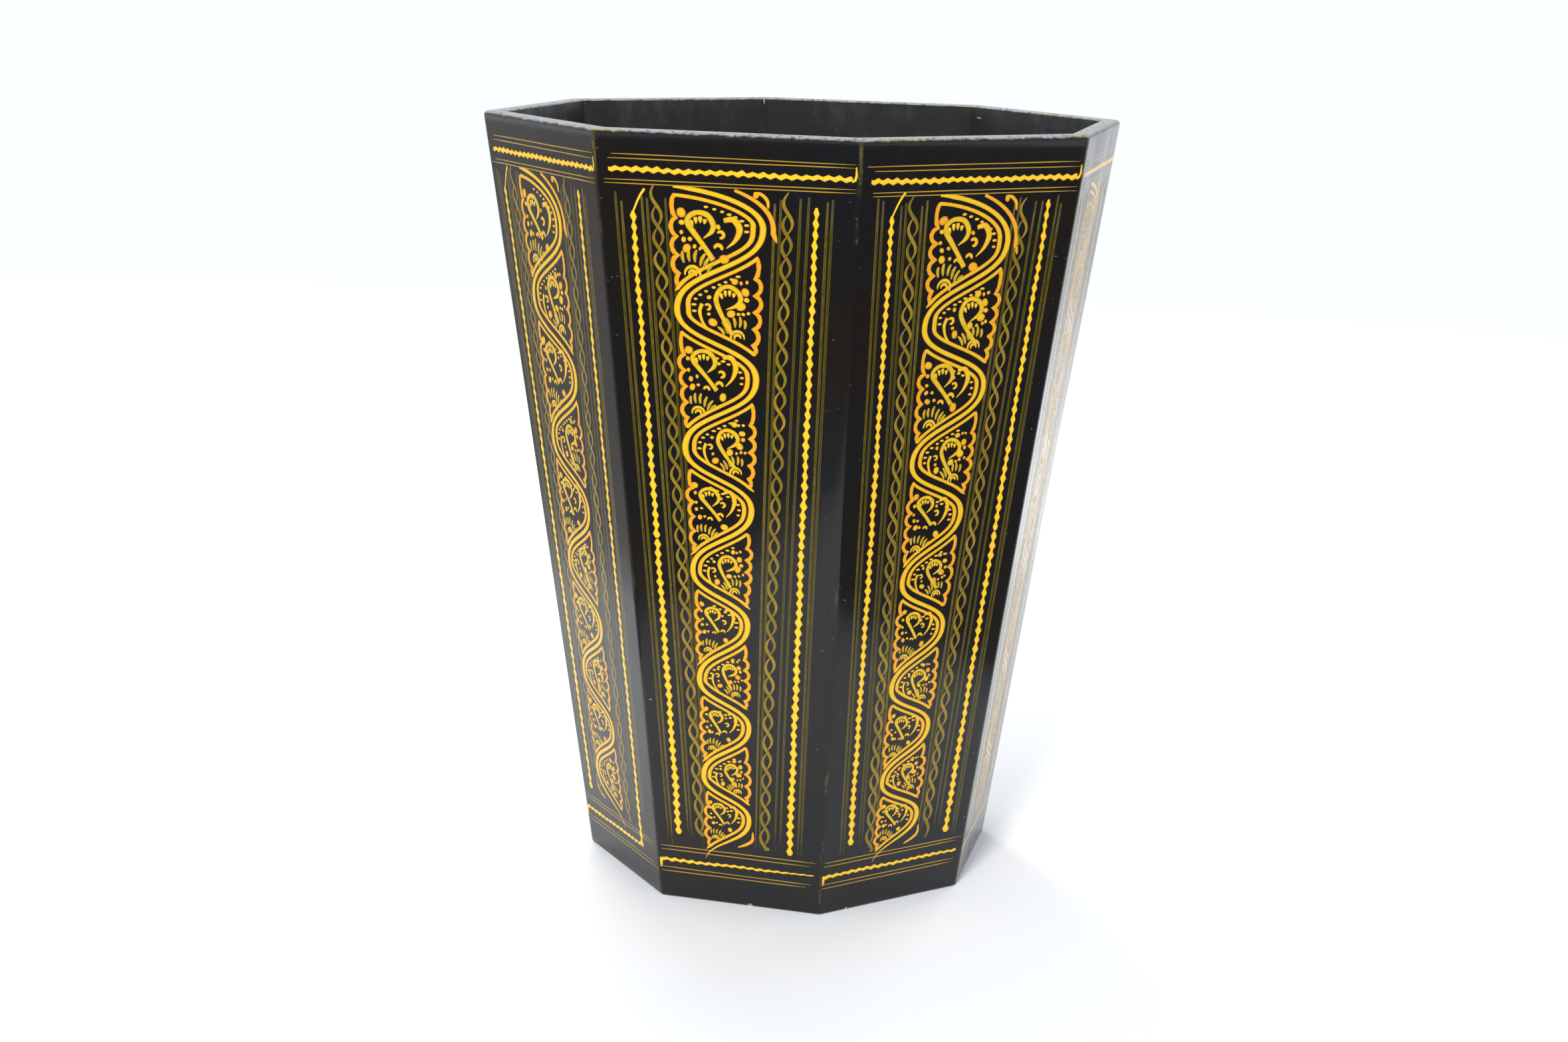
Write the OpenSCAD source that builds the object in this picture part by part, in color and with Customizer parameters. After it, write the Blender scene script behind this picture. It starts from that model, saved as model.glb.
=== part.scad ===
// Tapered eight-sided wooden bin: eight mitred side boards around a base board, glued and pinned.
// The origin is the centre of the underside, and the front board faces -Y.

/* [Body] */
// Height of the bin
height = 300; // [200:1:400]
// Outside width across the flat sides at the rim
rim_flats = 233; // [190:1:300]
// Outside width across the flat sides at the foot
foot_flats = 154; // [120:1:180]
// Thickness of the side boards
board_t = 7; // [5:0.1:10]

/* [Rim] */
// Radius of the rim's outer edge
rim_outer_r = 1.8; // [0.4:0.1:2.4]
// Radius of the rim's inner edge
rim_inner_r = 0.9; // [0.4:0.1:1.4]

/* [Base board] */
// Thickness of the base board
base_t = 9; // [6:0.5:15]
// Bevel along the upper edge of the base board
base_bevel = 0.8; // [0.2:0.1:1.5]

/* [Panel pins] */
// Shank diameter of a panel pin
pin_d = 1.4; // [1:0.1:2]
// Head diameter of a panel pin
pin_head_d = 2.4; // [2.2:0.1:3]
// Head thickness of a panel pin
pin_head_t = 0.8; // [0.5:0.1:1]
// Length of a panel pin, head included
pin_length = 20; // [14:1:25]
// Depth of a pin head under the outer face, stopped and lacquered over
pin_set = 1.2; // [0.8:0.1:1.6]
// Distance between the two pins of one board
pin_spacing = 34; // [20:1:40]

/* [Hidden] */
sides = 8;
side_turn = 360 / sides;
rim_in_r = rim_flats / 2;
foot_in_r = foot_flats / 2;
// Lean of a side board from upright
lean = atan((rim_in_r - foot_in_r) / height);
// Side board thickness measured level
wall_level = board_t / cos(lean);
// Level distance from the axis to the inner face at the foot
foot_inner_r = foot_in_r - wall_level;
// Longer than any piece, for the blocks that cut it to size
reach = 2 * (height + rim_flats);
arc_steps = 6;
pin_z = base_t / 2;
pin_facets = 24;
lacquer = [0.06, 0.06, 0.07];
bare_wood = [0.42, 0.30, 0.19];
pin_steel = [0.62, 0.62, 0.60];

// Points of an arc of radius r about c, from angle a to angle b
function arc(c, r, a, b) =
    [for (k = [0:arc_steps]) c + r * [cos(a + (b - a) * k / arc_steps), sin(a + (b - a) * k / arc_steps)]];

// Upright section of the front board: level distance from the axis (negative is outward), height
module board_section() {
    // A radius in a corner of angle c starts r / tan(c / 2) from the corner
    outer_start = rim_outer_r / tan((90 - lean) / 2);
    inner_start = rim_inner_r / tan((90 + lean) / 2);
    polygon(concat(
        [[-foot_inner_r, 0], [-foot_in_r, 0]],
        arc([-rim_in_r + outer_start, height - rim_outer_r], rim_outer_r, 180 + lean, 90),
        arc([-rim_in_r + wall_level - inner_start, height - rim_inner_r], rim_inner_r, 90, lean)
    ));
}

// Wedge that holds one side, between the two upright mitre planes
module mitre_wedge() {
    half = reach * tan(side_turn / 2);
    translate([0, 0, -1])
        linear_extrude(height + 2)
            polygon([[0, 0], [-half, -reach], [half, -reach]]);
}

// One panel pin lying level, its head against y = 0 and its point towards +Y
module panel_pin() {
    rotate([-90, 0, 0]) {
        cylinder(d = pin_head_d, h = pin_head_t, $fn = pin_facets);
        cylinder(d = pin_d, h = pin_length, $fn = pin_facets);
    }
}

// The pair of pins that holds the front board to the base board
module pin_pair() {
    face_y = -(foot_in_r + pin_z * tan(lean));
    for (side = [-1, 1])
        translate([side * pin_spacing / 2, face_y + pin_set, pin_z])
            panel_pin();
}

// Side board number i, counted from the front towards the right
module stave(i) {
    color(lacquer)
        rotate([0, 0, i * side_turn])
            difference() {
                intersection() {
                    rotate([90, 0, 90])
                        linear_extrude(rim_flats, center = true)
                            board_section();
                    mitre_wedge();
                }
                pin_pair();
            }
}

// Block outside the plane of the front board's inner face, tipped by the given angle and lifted
module outside_block(r, tip, z) {
    translate([0, -r, z])
        rotate([tip, 0, 0])
            translate([-reach / 2, -reach, -reach / 2])
                cube(reach);
}

module base_board() {
    top_inner_r = foot_inner_r + base_t * tan(lean);
    color(bare_wood)
        difference() {
            translate([-rim_in_r, -rim_in_r, 0])
                cube([rim_flats, rim_flats, base_t]);
            for (i = [0:sides - 1])
                rotate([0, 0, i * side_turn]) {
                    outside_block(foot_inner_r, lean, 0);
                    outside_block(top_inner_r - base_bevel, -45, base_t);
                    pin_pair();
                }
        }
}

module base_pins() {
    color(pin_steel)
        for (i = [0:sides - 1])
            rotate([0, 0, i * side_turn])
                pin_pair();
}

for (i = [0:sides - 1])
    stave(i);
base_board();
base_pins();
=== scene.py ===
import math
import random

import bmesh
import bpy
from mathutils import Matrix, Vector


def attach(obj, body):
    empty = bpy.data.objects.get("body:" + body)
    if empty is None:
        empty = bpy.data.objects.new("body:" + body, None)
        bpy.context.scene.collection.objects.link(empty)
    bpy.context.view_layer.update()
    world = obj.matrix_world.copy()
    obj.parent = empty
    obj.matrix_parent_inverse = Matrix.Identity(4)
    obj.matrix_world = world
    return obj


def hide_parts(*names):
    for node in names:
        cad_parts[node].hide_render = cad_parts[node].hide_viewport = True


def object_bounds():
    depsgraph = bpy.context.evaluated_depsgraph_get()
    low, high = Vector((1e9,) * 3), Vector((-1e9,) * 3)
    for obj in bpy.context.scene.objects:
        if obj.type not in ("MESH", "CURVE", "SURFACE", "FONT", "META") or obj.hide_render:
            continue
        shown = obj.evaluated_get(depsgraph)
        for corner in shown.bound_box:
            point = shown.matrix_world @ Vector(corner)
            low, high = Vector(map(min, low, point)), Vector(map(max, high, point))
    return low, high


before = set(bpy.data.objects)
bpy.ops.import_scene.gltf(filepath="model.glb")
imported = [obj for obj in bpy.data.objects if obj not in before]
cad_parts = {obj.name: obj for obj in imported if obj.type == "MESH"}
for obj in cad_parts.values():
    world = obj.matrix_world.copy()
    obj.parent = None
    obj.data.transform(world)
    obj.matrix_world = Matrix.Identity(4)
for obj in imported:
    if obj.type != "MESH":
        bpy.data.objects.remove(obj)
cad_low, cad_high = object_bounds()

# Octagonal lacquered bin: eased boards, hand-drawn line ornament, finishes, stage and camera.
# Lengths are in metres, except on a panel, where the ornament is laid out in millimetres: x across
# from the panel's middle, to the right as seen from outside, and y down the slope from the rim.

MM = 0.001

# ---------------- sizes, read from the frame

STAVES = (
    "stave_front", "stave_front_right", "stave_right", "stave_back_right",
    "stave_back", "stave_back_left", "stave_left", "stave_front_left",
)
TURN = math.tau / len(STAVES)
MITRE = math.tan(TURN / 2)

front_points = [v.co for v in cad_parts["stave_front"].data.vertices]
foot_distances = [-p.y for p in front_points if p.z < 1e-6]
widest_point = min(front_points, key=lambda p: p.y)

HEIGHT = cad_high.z
FOOT_R = max(foot_distances)
WALL = FOOT_R - min(foot_distances)
SPREAD = (-widest_point.y - FOOT_R) / widest_point.z
LEAN = math.atan(SPREAD)
SLOPE = HEIGHT / math.cos(LEAN)
RIM_R = FOOT_R + SPREAD * HEIGHT

# Easing of the edges, within the sharp CAD corners
RIM_OUTER_EASE = 1.8 * MM
RIM_INNER_EASE = 0.9 * MM
FOOT_EASE = 0.7 * MM
ARRIS_OUTER_EASE = 2.6 * MM
ARRIS_INNER_EASE = 1.2 * MM


def blend(a, b, t):
    return a + (b - a) * t


def turned(i):
    """The turn that takes the front board to board i."""
    return Matrix.Rotation(i * TURN, 4, "Z")


def placed(name, data):
    """A new object in the scene."""
    made = bpy.data.objects.new(name, data)
    bpy.context.scene.collection.objects.link(made)
    return made


# ---------------- material building

class Nodes:
    """A material's nodes, with short ways to add those that the finishes share."""

    def __init__(self, material):
        self.tree = material.node_tree
        self.shader = self.tree.nodes["Principled BSDF"]

    def add(self, kind, inputs=None, **settings):
        made = self.tree.nodes.new(kind)
        for name, value in settings.items():
            setattr(made, name, value)
        for name, value in (inputs or {}).items():
            self.set(made.inputs[name], value)
        return made

    def set(self, socket, value):
        if isinstance(value, bpy.types.NodeSocket):
            self.tree.links.new(value, socket)
        else:
            socket.default_value = value

    def paint(self, name, value):
        """Sets one input of the shader."""
        self.set(self.shader.inputs[name], value)

    def place(self, stretch=(1, 1, 1)):
        """Place on the object in millimetres, squeezed by stretch so that a pattern runs long."""
        where = self.add("ShaderNodeTexCoord").outputs["Object"]
        scale = [1 / MM / s for s in stretch]
        return self.add("ShaderNodeMapping", {"Vector": where, "Scale": scale}).outputs["Vector"]

    def noise(self, size_mm, detail=4.0, rough=0.55, stretch=(1, 1, 1)):
        """Noise from 0 to 1 with features of about size_mm."""
        made = self.add(
            "ShaderNodeTexNoise",
            {"Vector": self.place(stretch), "Scale": 1 / size_mm, "Detail": detail, "Roughness": rough},
        )
        return made.outputs["Fac"]

    def span(self, value, low, high, to_low=0.0, to_high=1.0):
        """value mapped from low..high to to_low..to_high, smooth and held at both ends."""
        made = self.add(
            "ShaderNodeMapRange",
            {"Value": value, "From Min": low, "From Max": high, "To Min": to_low, "To Max": to_high},
            interpolation_type="SMOOTHSTEP",
        )
        return made.outputs["Result"]

    def maths(self, operation, a, b=0.0):
        made = self.add("ShaderNodeMath", operation=operation)
        self.set(made.inputs[0], a)
        self.set(made.inputs[1], b)
        return made.outputs[0]

    def plus(self, a, b):
        return self.maths("ADD", a, b)

    def minus(self, a, b):
        return self.maths("SUBTRACT", a, b)

    def times(self, a, b):
        return self.maths("MULTIPLY", a, b)

    def mix(self, share, a, b):
        made = self.add("ShaderNodeMix", data_type="RGBA")
        self.set(made.inputs[0], share)
        self.set(made.inputs[6], a)
        self.set(made.inputs[7], b)
        return made.outputs[2]

    def attribute(self, name):
        return self.add("ShaderNodeAttribute", attribute_name=name).outputs["Fac"]

    def bump(self, height, distance_mm, strength=1.0, under=None):
        values = {"Height": height, "Distance": distance_mm * MM, "Strength": strength}
        made = self.add("ShaderNodeBump", values)
        if under is not None:
            self.set(made.inputs["Normal"], under)
        return made.outputs["Normal"]


def new_material(name):
    """A material with only its Principled shader, and its nodes."""
    made = bpy.data.materials.new(name)
    made.use_nodes = True
    return made, Nodes(made)


def colour(r, g, b):
    return (r, g, b, 1.0)


# ---------------- finishes

VARNISH_IOR = 1.46
BLACK_WARM = colour(0.0085, 0.0062, 0.0050)
BLACK_COOL = colour(0.0060, 0.0066, 0.0085)
DUST = colour(0.030, 0.030, 0.032)
WORN_OLIVE = colour(0.105, 0.082, 0.014)
WORN_GOLD = colour(0.42, 0.30, 0.06)
INSIDE_BLACK = colour(0.0125, 0.0125, 0.0125)
INSIDE_GREY = colour(0.034, 0.034, 0.033)
SCUFF = colour(0.30, 0.31, 0.33)
# Rim colours: wear on the rim, lightened into a painted reflection of the bright surroundings, with darker
# streaks
RIM_WEAR_AND_REFLECTION_GREY = colour(0.36, 0.39, 0.42)
RIM_WEAR_AND_REFLECTION_CREAM = colour(0.40, 0.39, 0.27)
RIM_SHADE = colour(0.06, 0.065, 0.07)
CREAM_GROUND = colour(0.66, 0.52, 0.26)
STAINED_WOOD = colour(0.17, 0.095, 0.045)
STAINED_WOOD_DARK = colour(0.06, 0.032, 0.016)


def depth_below_rim(n):
    """Millimetres down from the rim, from the place on the object."""
    place = n.add("ShaderNodeSeparateXYZ", {"Vector": n.add("ShaderNodeTexCoord").outputs["Object"]})
    return n.times(n.minus(HEIGHT, place.outputs["Z"]), 1 / MM)


def distance_from_arris(n):
    """Millimetres across a board from the nearer arris, from the place on the object."""
    place = n.add("ShaderNodeSeparateXYZ", {"Vector": n.add("ShaderNodeTexCoord").outputs["Object"]})
    x, y = place.outputs["X"], place.outputs["Y"]
    angle = n.maths("ARCTAN2", x, n.times(y, -1.0))
    folded = n.maths("FLOORED_MODULO", n.plus(angle, TURN / 2), TURN)
    folded = n.minus(folded, TURN / 2)
    reach = n.maths("SQRT", n.plus(n.times(x, x), n.times(y, y)))
    half = n.times(n.maths("COSINE", folded), MITRE)
    off_middle = n.maths("ABSOLUTE", n.maths("SINE", folded))
    return n.times(n.times(reach, n.minus(half, off_middle)), 1 / MM)


def black_lacquer():
    """Outside of the boards: warm and cool blacks, brush marks and dust, worn pale at the arrises, and a
    pale rim that is partly wear and partly a painted reflection of the bright surroundings.
    """
    made, n = new_material("black_lacquer")
    ground = n.mix(n.span(n.noise(45), 0.35, 0.65), BLACK_WARM, BLACK_COOL)
    dusty = n.times(n.span(n.noise(7, 6, 0.7), 0.52, 0.78), n.span(n.noise(60), 0.4, 0.7))
    coat = n.mix(n.times(dusty, 0.4), ground, DUST)

    arris = distance_from_arris(n)
    rim = depth_below_rim(n)
    ragged = n.noise(3.2, 5, 0.65, (1, 1, 6))
    ragged_arris = n.plus(arris, n.times(ragged, 1.6))
    near_rim = n.span(n.plus(rim, n.times(n.noise(20), 22)), 14, 34, 1.0, 0.0)
    areas = n.times(n.span(n.noise(34), 0.5, 0.68), n.span(ragged, 0.45, 0.6))
    broken = n.span(n.noise(2.4, 4, 0.7), 0.36, 0.6, 0.25, 1.0)
    rub = n.times(n.span(ragged_arris, 1.1, 1.9, 1.0, 0.0), n.maths("MAXIMUM", near_rim, areas))
    rub = n.times(rub, broken)
    worn = n.mix(n.span(n.noise(1.6), 0.55, 0.8), WORN_OLIVE, WORN_GOLD)
    coat = n.mix(rub, coat, worn)

    specks = n.span(n.noise(1.0, 2, 0.5, (3, 3, 1)), 0.73, 0.77)
    specks = n.times(specks, n.span(arris, 3, 9, 1.0, 0.0))
    coat = n.mix(n.times(specks, 0.7), coat, SCUFF)

    # The rim band: worn lacquer whose pale grey and cream colours carry a painted reflection of the bright
    # surroundings, broken by darker streaks
    ragged_rim = n.plus(rim, n.times(n.noise(4, 5, 0.7), 2.0))
    rim_wear_and_reflection_mask = n.span(ragged_rim, 1.25, 2.2, 1.0, 0.0)
    tinted = n.mix(n.span(n.noise(30), 0.48, 0.64), RIM_WEAR_AND_REFLECTION_GREY, RIM_WEAR_AND_REFLECTION_CREAM)
    streaked = n.mix(n.span(n.noise(1.6, 5, 0.7), 0.48, 0.68), tinted, RIM_SHADE)
    n.paint("Base Color", n.mix(rim_wear_and_reflection_mask, coat, streaked))

    smears = n.span(n.noise(22, 5, 0.6, (1, 1, 2.5)), 0.3, 0.75, 0.12, 0.25)
    dull = n.times(n.maths("MAXIMUM", rub, rim_wear_and_reflection_mask), 0.18)
    n.paint("Roughness", n.plus(smears, dull))
    waves = n.bump(n.noise(26, 2, 0.4), 0.16)
    brushed = n.bump(n.noise(0.9, 3, 0.6, (1, 1, 30)), 0.006, 1.0, waves)
    n.paint("Normal", n.bump(n.noise(1.3, 3, 0.6), 0.006, 1.0, brushed))
    n.shader.inputs["IOR"].default_value = VARNISH_IOR
    return made


def inside_lacquer():
    """Inside of the boards: a thinner, duller coat with scuffed and dusty patches."""
    made, n = new_material("inside_lacquer")
    scuffs = n.span(n.noise(9, 6, 0.7, (1, 1, 2)), 0.48, 0.72)
    coat = n.mix(scuffs, INSIDE_BLACK, INSIDE_GREY)
    nicks = n.span(n.noise(2.6, 2, 0.5, (2.5, 2.5, 1)), 0.755, 0.775)
    n.paint("Base Color", n.mix(nicks, coat, WORN_GOLD))
    n.paint("Roughness", n.span(n.noise(14, 4, 0.6), 0.3, 0.7, 0.34, 0.55))
    streaks = n.bump(n.noise(1.4, 4, 0.6, (1, 1, 18)), 0.05)
    n.paint("Normal", n.bump(n.noise(12, 3), 0.25, 1.0, streaks))
    return made


def stained_wood(name, run):
    """Stained softwood with its grain along the axis that run stretches."""
    made, n = new_material(name)
    bands = n.add(
        "ShaderNodeTexWave",
        {"Vector": n.place(run), "Scale": 0.16, "Distortion": 5.0, "Detail": 3.0, "Detail Scale": 0.6},
        bands_direction="X",
    ).outputs["Fac"]
    fibres = n.noise(0.8, 4, 0.6, [s * 4 for s in run])
    grain = n.plus(n.times(bands, 0.55), n.times(fibres, 0.45))
    n.paint("Base Color", n.mix(n.span(grain, 0.0, 1.0), STAINED_WOOD_DARK, STAINED_WOOD))
    n.paint("Roughness", n.span(fibres, 0.3, 0.7, 0.5, 0.7))
    n.paint("Normal", n.bump(grain, 0.03))
    return made


def base_finish():
    """The base board: black wash on the side seen from above, stained wood underneath."""
    made = stained_wood("base_finish", (1, 14, 14))
    n = Nodes(made)
    wood = n.shader.inputs["Base Color"].links[0].from_socket
    up = n.add("ShaderNodeSeparateXYZ", {"Vector": n.add("ShaderNodeNewGeometry").outputs["Normal"]})
    scuffs = n.span(n.noise(8, 6, 0.7), 0.45, 0.75)
    washed = n.mix(scuffs, INSIDE_BLACK, INSIDE_GREY)
    n.paint("Base Color", n.mix(n.span(up.outputs["Z"], 0.2, 0.5), wood, washed))
    return made


def chipped_ground():
    """The cream ground and wood that a chip in the lacquer uncovers."""
    made, n = new_material("chipped_ground")
    n.paint("Base Color", n.mix(n.span(n.noise(0.8), 0.4, 0.65), CREAM_GROUND, WORN_GOLD))
    n.shader.inputs["Roughness"].default_value = 0.7
    n.paint("Normal", n.bump(n.noise(0.5, 4), 0.1))
    return made


def drawn_wire():
    """Bright steel wire of the panel pins."""
    made, n = new_material("drawn_wire")
    n.paint("Base Color", n.mix(n.noise(1.5), colour(0.42, 0.42, 0.43), colour(0.6, 0.6, 0.6)))
    n.shader.inputs["Metallic"].default_value = 1.0
    n.paint("Roughness", n.span(n.noise(0.6), 0.3, 0.7, 0.28, 0.45))
    return made


def ink_finish(name, olive, middle, orange, edge_olive, edge_orange, ruled=False):
    """Varnished line. Its tone runs olive, middle, orange, and its edges have their own colours."""
    made, n = new_material(name)
    tone = n.attribute("tone")
    mottled = n.plus(tone, n.times(n.minus(n.noise(2.2, 4, 0.6), 0.5), 0.5))
    body = n.mix(n.span(mottled, 0.0, 0.5), olive, middle)
    body = n.mix(n.span(mottled, 0.5, 1.0), body, orange)
    across = n.attribute("across")
    if ruled:
        # Both edges of a ruled line are lighter in colour, the right-hand one more
        edge = n.maths("MAXIMUM", n.span(across, 0.35, 0.8), n.span(across, -0.85, -0.45, 0.65, 0.0))
    else:
        edge = n.span(n.maths("ABSOLUTE", across), 0.45, 1.0)
        edge = n.times(edge, n.span(n.noise(1.8), 0.3, 0.7, 0.6, 1.0))
    n.paint("Base Color", n.mix(edge, body, n.mix(tone, edge_olive, edge_orange)))
    n.paint("Roughness", n.span(n.noise(3), 0.3, 0.7, 0.16, 0.3))
    n.shader.inputs["IOR"].default_value = VARNISH_IOR
    return made


# ---------------- the boards

# Places of a board's finishes in its list of materials
COAT, INSIDE, WOOD, GROUND = range(4)


def eased_corner(corner, before, after, radius, steps):
    """Points of an arc that eases a corner, from the side that leads to before round to after."""
    corner, before, after = Vector(corner), Vector(before).normalized(), Vector(after).normalized()
    half = before.angle(after) / 2
    centre = corner + (before + after).normalized() * radius / math.sin(half)
    start = corner + before * radius / math.tan(half) - centre
    end = corner + after * radius / math.tan(half) - centre
    turn = start.angle_signed(end)
    return [centre + Matrix.Rotation(-turn * k / steps, 2) @ start for k in range(steps + 1)]


def board_outline():
    """The board's upright section as rows of (level distance, height, arris ease, finish)."""
    up = Vector((math.sin(LEAN), math.cos(LEAN)))
    inward = Vector((-1, 0))
    rows = []
    for p in eased_corner((FOOT_R, 0), inward, up, FOOT_EASE, 3):
        rows.append((p.x, p.y, ARRIS_OUTER_EASE, COAT))
    for share in (0.012, 0.03, 0.06, 0.12, 0.2, 0.3, 0.4, 0.5, 0.6, 0.7, 0.8, 0.88, 0.94, 0.97, 0.985):
        rows.append((FOOT_R + SPREAD * HEIGHT * share, HEIGHT * share, ARRIS_OUTER_EASE, COAT))
    outer_arc = eased_corner((RIM_R, HEIGHT), -up, inward, RIM_OUTER_EASE, 6)
    for k, p in enumerate(outer_arc):
        ease = blend(ARRIS_OUTER_EASE, ARRIS_INNER_EASE, k / len(outer_arc))
        rows.append((p.x, p.y, ease, COAT))
    rows.append((RIM_R - WALL / 2, HEIGHT, ARRIS_INNER_EASE, COAT))
    inner_arc = eased_corner((RIM_R - WALL, HEIGHT), -inward, -up, RIM_INNER_EASE, 4)
    for k, p in enumerate(inner_arc):
        rows.append((p.x, p.y, ARRIS_INNER_EASE, COAT if k < len(inner_arc) - 1 else INSIDE))
    for share in (0.98, 0.94, 0.85, 0.7, 0.5, 0.3, 0.15):
        distance = RIM_R - WALL - SPREAD * HEIGHT * (1 - share)
        rows.append((distance, HEIGHT * share, ARRIS_INNER_EASE, INSIDE))
    rows.append((FOOT_R - WALL, 0, ARRIS_INNER_EASE, WOOD))
    return rows


def board_columns(distance, ease):
    """Positions across one row from the middle to the right arris, as (x, level distance)."""
    flat = (distance - ease) * MITRE
    columns = [(0.0, distance)]
    columns += [(flat - back * MM, distance) for back in (22, 11, 5, 2, 0)]
    steps = 5
    for k in range(1, steps + 1):
        angle = TURN / 2 * k / steps
        columns.append((flat + ease * math.sin(angle), distance - ease * (1 - math.cos(angle))))
    return columns


# Chips in the edges, in mm: board, place across, place below the rim, and length, height and depth
CHIPS = (
    (7, -18.0, 0.4, (14.0, 1.7, 1.9)), (2, -14.0, 0.2, (2.2, 1.1, 1.2)), (1, 47.0, 1.0, (1.6, 2.6, 1.3)),
    (0, 4.0, 302.2, (2.4, 0.7, 1.2)), (1, -20.0, 302.2, (1.4, 0.7, 1.0)), (4, 21.0, 0.3, (4.2, 1.3, 1.3)),
    (5, -46.6, 130.0, (1.1, 4.0, 1.1)), (3, 5.0, 302.1, (4.5, 0.9, 1.3)), (6, -12.0, 302.0, (3.0, 1.0, 1.3)),
)
# Chips on the inside of the rim, as above
INNER_CHIPS = (
    (4, 43.0, 1.0, (1.5, 4.2, 1.2)), (5, -42.6, 0.9, (1.0, 3.0, 1.0)), (4, -24.0, 0.4, (3.0, 1.0, 1.0)),
)


def chip_cutter(i, x, y, size, lift, hand):
    """A jagged lump to take out of board i, lift mm above its outer face."""
    lump = bmesh.new()
    bmesh.ops.create_icosphere(lump, subdivisions=2, radius=1.0)
    for v in lump.verts:
        v.co *= hand.uniform(0.72, 1.1)
        v.co = on_panel(x + v.co.x * size[0] / 2, y + v.co.y * size[1], lift + v.co.z * size[2])
    lump.transform(turned(i))
    return lump


def chip_board(piece, i, finishes):
    """Takes the chips of board i out of it, down to the pale ground."""
    hand = random.Random(50 + i)
    lumps = [chip_cutter(i, x, y, size, 0.0, hand) for b, x, y, size in CHIPS if b == i]
    inside = -WALL / MM * math.cos(LEAN)
    lumps += [chip_cutter(i, x, y, size, inside, hand) for b, x, y, size in INNER_CHIPS if b == i]
    for lump in lumps:
        data = bpy.data.meshes.new("cutter")
        bmesh.ops.recalc_face_normals(lump, faces=lump.faces)
        lump.to_mesh(data)
        lump.free()
        data.materials.append(finishes[GROUND])
        cutter = placed("cutter", data)
        cut = piece.modifiers.new("chip", "BOOLEAN")
        cut.operation = "DIFFERENCE"
        cut.solver = "EXACT"
        cut.material_mode = "TRANSFER"
        cut.object = cutter
        bpy.context.view_layer.update()
        graph = bpy.context.evaluated_depsgraph_get()
        shaped = bpy.data.meshes.new_from_object(piece.evaluated_get(graph))
        piece.modifiers.clear()
        piece.data = shaped
        bpy.data.objects.remove(cutter)


def board(i, finishes):
    """Board i as one closed mesh whose eased arrises meet its neighbours' on the mitre planes."""
    outline = board_outline()
    mesh = bmesh.new()
    rows = []
    for distance, z, ease, _ in outline:
        right = board_columns(distance, ease)
        left = [(-x, r) for x, r in reversed(right[1:])]
        rows.append([mesh.verts.new((x, -r, z)) for x, r in left + right])
    for k, row in enumerate(rows):
        above = rows[(k + 1) % len(rows)]
        finish = outline[k][3]
        for c in range(len(row) - 1):
            face = mesh.faces.new((row[c], row[c + 1], above[c + 1], above[c]))
            face.material_index = finish
            face.smooth = finish != WOOD
    for end in (0, -1):
        cap = mesh.faces.new([row[end] for row in rows])
        cap.material_index = WOOD
    bmesh.ops.recalc_face_normals(mesh, faces=mesh.faces)
    mesh.transform(turned(i))
    name = STAVES[i].replace("stave", "board")
    data = bpy.data.meshes.new(name)
    mesh.to_mesh(data)
    mesh.free()
    data.set_sharp_from_angle(angle=math.radians(50))
    for finish in finishes:
        data.materials.append(finish)
    piece = placed(name, data)
    chip_board(piece, i, finishes)
    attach(piece, "root")
    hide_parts(STAVES[i])
    return piece


# ---------------- drawing on a panel

PANEL_LENGTH = SLOPE / MM
# Height of a line's edge, shoulder and crown over the varnish, and of each layer over another, in mm
EDGE_LIFT, SHOULDER_LIFT, CROWN_LIFT, LAYER = -0.014, 0.011, 0.019, 0.007


def half_width(y):
    """Half the panel's width in mm, y mm down from the rim."""
    return (RIM_R - y * MM * math.sin(LEAN)) * MITRE / MM


def on_panel(x, y, lift):
    """A panel point in mm to the front board's place in metres."""
    down = y * MM
    r = RIM_R - down * math.sin(LEAN) + lift * MM * math.cos(LEAN)
    z = HEIGHT - down * math.cos(LEAN) - lift * MM * math.sin(LEAN)
    return Vector((x * MM, -r, z))


def course(points, k):
    """Direction of a line at its point k."""
    return (points[min(k + 1, len(points) - 1)] - points[max(k - 1, 0)]).normalized()


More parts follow.
